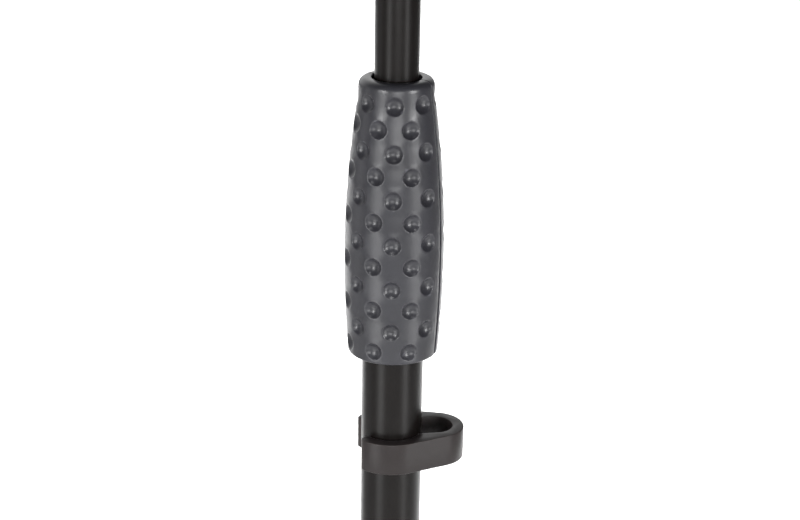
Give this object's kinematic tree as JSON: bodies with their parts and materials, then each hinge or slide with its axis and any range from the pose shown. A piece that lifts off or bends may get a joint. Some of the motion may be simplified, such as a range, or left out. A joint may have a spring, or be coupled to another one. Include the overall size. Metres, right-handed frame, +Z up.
{
  "type": "music stand",
  "caption": "Folding music stand: tripod base, telescopic column with a squeeze-grip clutch, cable clip and a tilting sheet-metal desk with a ledge.",
  "frame": {"origin": "middle of the column foot's underside, at floor level", "axes": "+Z up along the column, -Y towards the player, +X to the player's right; the desk leans back towards +Y"},
  "size_m": [0.5444, 0.4746, 1.1722],
  "materials": {
    "black_tube": "satin black powder coat on steel tube",
    "black_sheet": "fine-textured black powder coat on sheet steel",
    "cast_metal": "black coated die casting",
    "grip_plastic": "satin grey moulded plastic with pressed dimples",
    "clip_plastic": "dark grey moulded plastic",
    "knob_plastic": "black moulded plastic",
    "nylon": "black nylon",
    "rubber": "matt black rubber",
    "steel": "zinc-plated steel"
  },
  "bodies": {
    "stand": {"column_foot": "rubber", "hub": "cast_metal", "hub_screw": "steel", "pivot_bolts": "steel", "pivot_nuts": "steel", "lower_tube": "black_tube", "front_shell": "grip_plastic", "lever_pins": "steel", "lower_collar": "cast_metal", "collar_screws": "steel", "upper_bush": "nylon", "lock_spring": "steel"},
    "leg_1": {"leg_1_knuckle": "cast_metal", "leg_1_tube": "black_tube", "leg_1_foot": "rubber"},
    "leg_2": {"leg_2_knuckle": "cast_metal", "leg_2_tube": "black_tube", "leg_2_foot": "rubber"},
    "leg_3": {"leg_3_knuckle": "cast_metal", "leg_3_tube": "black_tube", "leg_3_foot": "rubber"},
    "clip": {"cable_clip": "clip_plastic"},
    "lever": {"lever_shell": "grip_plastic"},
    "lock_plate": {"lock_plate": "steel"},
    "mast_guide": {"guide_bush": "nylon"},
    "mast": {"upper_tube": "black_tube", "mast_plug": "nylon", "tilt_socket": "cast_metal", "tilt_bolt": "steel"},
    "knob": {"tilt_knob": "knob_plastic"},
    "desk": {"desk_bracket": "black_sheet", "desk_panel": "black_sheet", "desk_rivets": "steel"}
  },
  "joints": [
    {"name": "leg_1_fold", "type": "hinge", "parent": "stand", "child": "leg_1", "pos_m": [0, 0.03, 0.062], "axis": [1, 0, 0], "range_deg": [0, 100]},
    {"name": "leg_2_fold", "type": "hinge", "parent": "stand", "child": "leg_2", "pos_m": [-0.02598, -0.015, 0.062], "axis": [-0.5, 0.866, 0], "range_deg": [0, 100]},
    {"name": "leg_3_fold", "type": "hinge", "parent": "stand", "child": "leg_3", "pos_m": [0.02598, -0.015, 0.062], "axis": [-0.5, -0.866, 0], "range_deg": [0, 100]},
    {"name": "mast_slide", "type": "slide", "parent": "stand", "child": "mast_guide", "axis": [0, 0, 1], "range_m": [-0.2, 0.25]},
    {"name": "mast_turn", "type": "hinge", "parent": "mast_guide", "child": "mast", "pos_m": [0, 0, 0.333], "axis": [0, 0, 1], "continuous": true},
    {"name": "desk_tilt", "type": "hinge", "parent": "mast", "child": "desk", "pos_m": [0, 0, 0.975], "axis": [-1, 0, 0], "range_deg": [-20, 70]},
    {"name": "knob_turn", "type": "hinge", "parent": "mast", "child": "knob", "pos_m": [0.02, 0, 0.975], "axis": [1, 0, 0], "range_deg": [0, 360]},
    {"name": "clip_turn", "type": "hinge", "parent": "stand", "child": "clip", "pos_m": [0, 0, 0.5575], "axis": [0, 0, 1], "continuous": true},
    {"name": "lever_squeeze", "type": "hinge", "parent": "stand", "child": "lever", "pos_m": [0, 0.0022, 0.704], "axis": [-1, 0, 0], "range_deg": [0, 0.9], "stiffness_Nm_per_rad": 40, "springref_deg": -0.57},
    {"name": "plate_rock", "type": "hinge", "parent": "stand", "child": "lock_plate", "pos_m": [0, -0.0135, 0.638], "axis": [1, 0, 0], "range_deg": [0, 3], "deforming": ["lock_spring"]}
  ],
  "couplings": [
    {"joint": "plate_rock", "follows": "lever_squeeze", "ratio": 3.3333}
  ]
}
